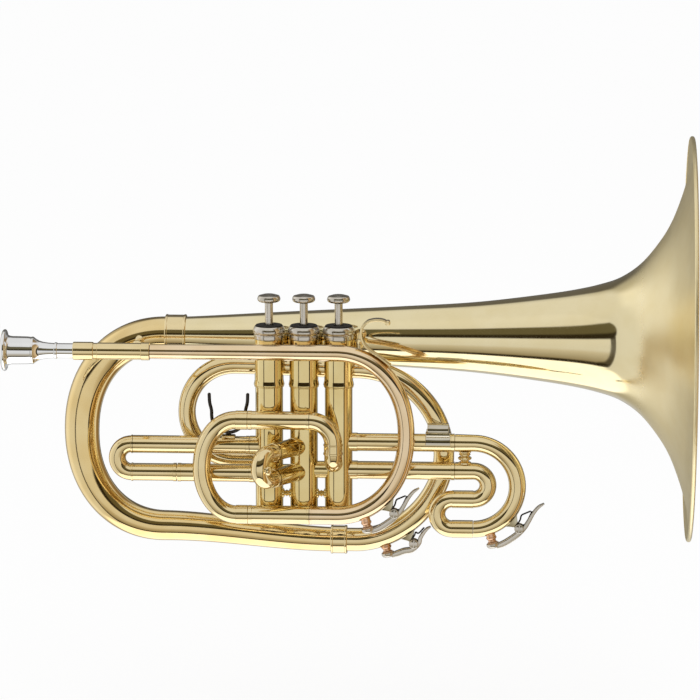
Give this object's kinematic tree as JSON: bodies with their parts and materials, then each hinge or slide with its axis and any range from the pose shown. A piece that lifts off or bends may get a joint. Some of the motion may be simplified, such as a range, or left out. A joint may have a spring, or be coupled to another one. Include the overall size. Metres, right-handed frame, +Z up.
{
  "type": "marching mellophone",
  "caption": "Three-valve brass horn with a wrapped conical tube, wide forward bell, tuning and valve slides, water keys and a removable mouthpiece.",
  "frame": {"origin": "on the second valve's axis, where a hand holds the valve block, 66 mm above its bottom cap's face", "axes": "+X out of the bell, +Y away from the side with the leadpipe, +Z up along the valves towards the buttons"},
  "size_m": [0.4586, 0.272, 0.284],
  "materials": {
    "lacquered_brass": "clear-lacquered polished yellow brass",
    "rose_brass": "clear-lacquered polished rose brass",
    "nickel_silver": "polished nickel silver",
    "silver_plate": "polished silver plate",
    "black_felt": "matte felt",
    "dark_steel": "dark plated wire",
    "spring_steel": "bright spring wire"
  },
  "bodies": {
    "instrument": {"valve_casing_1": "lacquered_brass", "top_cap_1": "nickel_silver", "cap_felt_1": "black_felt", "bottom_cap_1": "nickel_silver", "piston_spring_1": "spring_steel", "valve_casing_2": "lacquered_brass", "top_cap_2": "nickel_silver", "cap_felt_2": "black_felt", "bottom_cap_2": "nickel_silver", "piston_spring_2": "spring_steel", "valve_casing_3": "lacquered_brass", "top_cap_3": "nickel_silver", "cap_felt_3": "black_felt", "bottom_cap_3": "nickel_silver", "piston_spring_3": "spring_steel", "crossover_1_2": "lacquered_brass", "crossover_2_3": "lacquered_brass", "mouthpiece_receiver": "lacquered_brass", "tuning_outer_upper": "lacquered_brass", "tuning_outer_lower": "lacquered_brass", "entry_elbow": "lacquered_brass", "first_slide_inner_tube": "lacquered_brass", "first_slide_outer_tube": "lacquered_brass", "second_slide_outer_upper": "lacquered_brass", "second_slide_outer_lower": "lacquered_brass", "third_slide_outer_upper": "lacquered_brass", "third_slide_outer_lower": "lacquered_brass", "branch_tube": "lacquered_brass", "branch_ferrule": "lacquered_brass", "main_bow": "lacquered_brass", "bell_ferrule": "lacquered_brass", "bell": "lacquered_brass", "bell_brace": "lacquered_brass", "receiver_brace": "lacquered_brass", "valve_brace_1_2": "lacquered_brass", "valve_brace_2_3": "lacquered_brass", "finger_hook": "lacquered_brass", "leadpipe": "rose_brass", "slide_bracket": "nickel_silver", "leadpipe_water_key_bracket": "nickel_silver", "branch_water_key_bracket": "nickel_silver"},
    "mouthpiece": {"mouthpiece": "silver_plate"},
    "tuning_slide": {"tuning_slide_crook": "lacquered_brass"},
    "first_slide": {"first_slide_crook": "lacquered_brass", "first_slide_sleeve": "lacquered_brass", "thumb_saddle": "dark_steel"},
    "second_slide": {"second_slide_crook": "lacquered_brass"},
    "third_slide": {"third_slide_bow": "lacquered_brass", "third_slide_s_bend": "lacquered_brass", "third_slide_water_key_bracket": "nickel_silver"},
    "leadpipe_key": {"leadpipe_water_key_lever": "nickel_silver"},
    "branch_key": {"branch_water_key_lever": "nickel_silver"},
    "third_slide_key": {"third_slide_water_key_lever": "nickel_silver"},
    "valve_1": {"finger_button_1": "nickel_silver", "piston_1": "nickel_silver"},
    "valve_2": {"finger_button_2": "nickel_silver", "piston_2": "nickel_silver"},
    "valve_3": {"finger_button_3": "nickel_silver", "piston_3": "nickel_silver"}
  },
  "joints": [
    {"name": "valve_1_press", "type": "slide", "parent": "instrument", "child": "valve_1", "axis": [0, 0, -1], "range_m": [0, 0.014], "stiffness_N_per_m": 60, "springref_m": -0.0233, "deforming": ["piston_spring_1"]},
    {"name": "valve_2_press", "type": "slide", "parent": "instrument", "child": "valve_2", "axis": [0, 0, -1], "range_m": [0, 0.014], "stiffness_N_per_m": 60, "springref_m": -0.0233, "deforming": ["piston_spring_2"]},
    {"name": "valve_3_press", "type": "slide", "parent": "instrument", "child": "valve_3", "axis": [0, 0, -1], "range_m": [0, 0.014], "stiffness_N_per_m": 60, "springref_m": -0.0233, "deforming": ["piston_spring_3"]},
    {"name": "tuning_slide_pull", "type": "slide", "parent": "instrument", "child": "tuning_slide", "axis": [-1, 0, 0], "range_m": [0, 0.03]},
    {"name": "first_slide_pull", "type": "slide", "parent": "instrument", "child": "first_slide", "axis": [-1, 0, 0], "range_m": [0, 0.03]},
    {"name": "second_slide_pull", "type": "slide", "parent": "instrument", "child": "second_slide", "axis": [-0.5592, -0.829, 0], "range_m": [0, 0.012]},
    {"name": "third_slide_pull", "type": "slide", "parent": "instrument", "child": "third_slide", "axis": [1, 0, 0], "range_m": [0, 0.04]},
    {"name": "mouthpiece_pull", "type": "slide", "parent": "instrument", "child": "mouthpiece", "axis": [-1, 0, 0], "range_m": [0, 0.025]},
    {"name": "leadpipe_key_press", "type": "hinge", "parent": "instrument", "child": "leadpipe_key", "pos_m": [0.061, -0.01565, -0.056], "axis": [0, -1, 0], "range_deg": [0, 15], "stiffness_Nm_per_rad": 0.06, "springref_deg": -20.05},
    {"name": "branch_key_press", "type": "hinge", "parent": "instrument", "child": "branch_key", "pos_m": [0.073, 0.0163, -0.084], "axis": [0, -1, 0], "range_deg": [0, 15], "stiffness_Nm_per_rad": 0.06, "springref_deg": -20.05},
    {"name": "third_slide_key_press", "type": "hinge", "parent": "third_slide", "child": "third_slide_key", "pos_m": [0.1441, 0, -0.069], "axis": [0, -1, 0], "range_deg": [0, 15], "stiffness_Nm_per_rad": 0.06, "springref_deg": -20.05}
  ]
}
